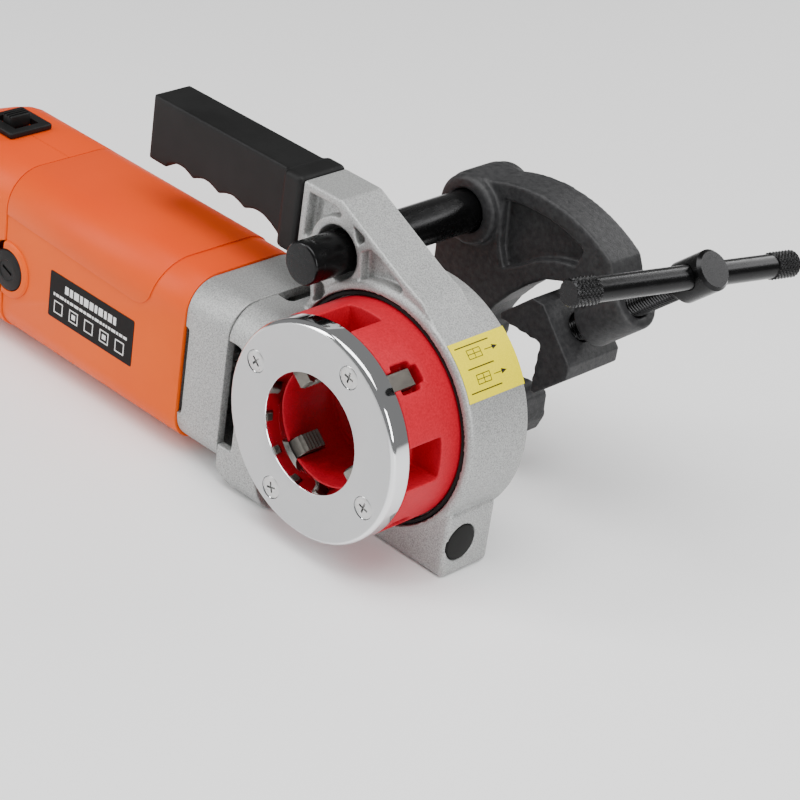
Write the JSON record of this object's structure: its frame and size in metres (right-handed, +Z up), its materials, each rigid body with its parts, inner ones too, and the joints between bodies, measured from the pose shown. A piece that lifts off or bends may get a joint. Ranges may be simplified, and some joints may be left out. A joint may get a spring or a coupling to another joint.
{
  "type": "portable electric pipe threader",
  "caption": "Portable electric pipe threader: motor body, gear head with a round die head, top grip, and a support arm with a screw vice.",
  "frame": {"origin": "on the base plane, straight below the die axis, at the middle of the head ring", "axes": "+Y along the die axis from the cover plate toward the vice, +X from the motor toward the die, +Z up"},
  "size_m": [0.6493, 0.2511, 0.1941],
  "materials": {
    "cast_aluminium": "fine sand-cast surface, bright machined edges",
    "orange_plastic": "semi-gloss moulded plastic",
    "black_plastic": "satin moulded plastic",
    "black_rubber": "matt rubber",
    "red_paint": "textured red paint over cast steel",
    "chromed_steel": "brushed chrome face, polished rim",
    "bright_steel": "machined steel",
    "tool_steel": "dark tool steel",
    "blackened_steel": "polished black oxide",
    "black_cast_iron": "rough black casting",
    "brass": "plain brass",
    "copper_wire": "varnished copper windings"
  },
  "bodies": {
    "machine": {"head_casting": "cast_aluminium", "gear_case": "cast_aluminium", "back_cover": "cast_aluminium", "cover_screw_1": "bright_steel", "cover_screw_2": "bright_steel", "cover_screw_3": "bright_steel", "foot_plug": "black_rubber", "front_seal": "black_rubber", "top_grip": "black_plastic", "grip_bolt": "bright_steel", "motor_housing": "orange_plastic", "bearing_bracket": "cast_aluminium", "motor_bearing_front": "bright_steel", "motor_bearing_rear": "bright_steel", "stator_core": "tool_steel", "field_winding_front": "copper_wire", "field_winding_rear": "copper_wire", "brush_holder_front": "brass", "brush_holder_rear": "brass", "carbon_brush_front": "tool_steel", "carbon_brush_rear": "tool_steel", "brush_cap_front": "black_plastic", "brush_cap_rear": "black_plastic", "rear_housing_front": "orange_plastic", "rear_housing_back": "orange_plastic", "direction_switch_bezel": "black_plastic", "trigger_pin": "bright_steel", "switch_body": "black_plastic", "cable_gland": "black_rubber", "layshaft_bearing_front": "bright_steel", "layshaft_bearing_rear": "bright_steel", "idler_pin": "bright_steel"},
    "rotor": {"drive_ring": "bright_steel"},
    "die": {"die_body": "red_paint", "cover_plate": "chromed_steel", "chaser_1": "tool_steel", "chaser_2": "tool_steel", "chaser_3": "tool_steel", "chaser_4": "tool_steel", "plate_screw_1": "bright_steel", "plate_screw_2": "bright_steel", "plate_screw_3": "bright_steel", "plate_screw_4": "bright_steel"},
    "idler": {"idler_gear": "bright_steel"},
    "layshaft_group": {"layshaft": "bright_steel", "layshaft_pinion": "bright_steel", "bevel_wheel": "bright_steel"},
    "armature": {"armature_shaft": "bright_steel", "bevel_pinion": "bright_steel", "armature_core": "tool_steel", "commutator": "brass", "cooling_fan": "black_plastic"},
    "support_arm": {"support_rod": "blackened_steel", "vice_frame": "black_cast_iron"},
    "jaw": {"moving_jaw": "black_cast_iron"},
    "screw": {"clamp_screw": "blackened_steel"},
    "bar": {"tommy_bar": "blackened_steel"},
    "trigger_group": {"trigger": "black_plastic"},
    "lock": {"lock_button": "black_plastic"},
    "selector": {"direction_slider": "black_plastic"}
  },
  "joints": [
    {"name": "die_spin", "type": "hinge", "parent": "machine", "child": "rotor", "pos_m": [0, 0, 0.077], "axis": [0, 1, 0], "continuous": true},
    {"name": "die_pull", "type": "slide", "parent": "rotor", "child": "die", "axis": [0, -1, 0], "range_m": [0, 0.07]},
    {"name": "idler_spin", "type": "hinge", "parent": "machine", "child": "idler", "pos_m": [-0.07271, 0.008, 0.05862], "axis": [0, 1, 0], "continuous": true},
    {"name": "layshaft_spin", "type": "hinge", "parent": "machine", "child": "layshaft_group", "pos_m": [-0.09889, 0.008, 0.052], "axis": [0, 1, 0], "continuous": true},
    {"name": "armature_spin", "type": "hinge", "parent": "machine", "child": "armature", "pos_m": [-0.2, -0.013, 0.052], "axis": [1, 0, 0], "continuous": true},
    {"name": "support_slide", "type": "slide", "parent": "machine", "child": "support_arm", "axis": [0, 1, 0], "range_m": [-0.055, 0.02]},
    {"name": "jaw_slide", "type": "slide", "parent": "support_arm", "child": "jaw", "axis": [0.7431, 0, 0.6691], "range_m": [-0.0181, 0.0051]},
    {"name": "screw_turn", "type": "hinge", "parent": "jaw", "child": "screw", "pos_m": [0.07431, 0.105, 0.14391], "axis": [0.7431, 0, 0.6691], "range_deg": [-3240, 900]},
    {"name": "tommy_slide", "type": "slide", "parent": "screw", "child": "bar", "axis": [0.1047, 0.9877, -0.1163], "range_m": [-0.045, 0.069]},
    {"name": "trigger_pull", "type": "hinge", "parent": "machine", "child": "trigger_group", "pos_m": [-0.3975, -0.013, 0.0734], "axis": [0, 1, 0], "range_deg": [0, 6], "stiffness_Nm_per_rad": 0.5, "springref_deg": -5.73},
    {"name": "lock_push", "type": "slide", "parent": "machine", "child": "lock", "axis": [0, 1, 0], "range_m": [0, 0.0027], "stiffness_N_per_m": 300, "springref_m": -0.002},
    {"name": "direction_slide", "type": "slide", "parent": "machine", "child": "selector", "axis": [1, 0, 0], "range_m": [-0.0055, 0.0055]}
  ],
  "couplings": [
    {"joint": "idler_spin", "follows": "die_spin", "ratio": -3.1667},
    {"joint": "layshaft_spin", "follows": "die_spin", "ratio": 6.3333},
    {"joint": "armature_spin", "follows": "die_spin", "ratio": 10.767},
    {"joint": "jaw_slide", "follows": "screw_turn", "m_per_rad": 0.00031831}
  ]
}
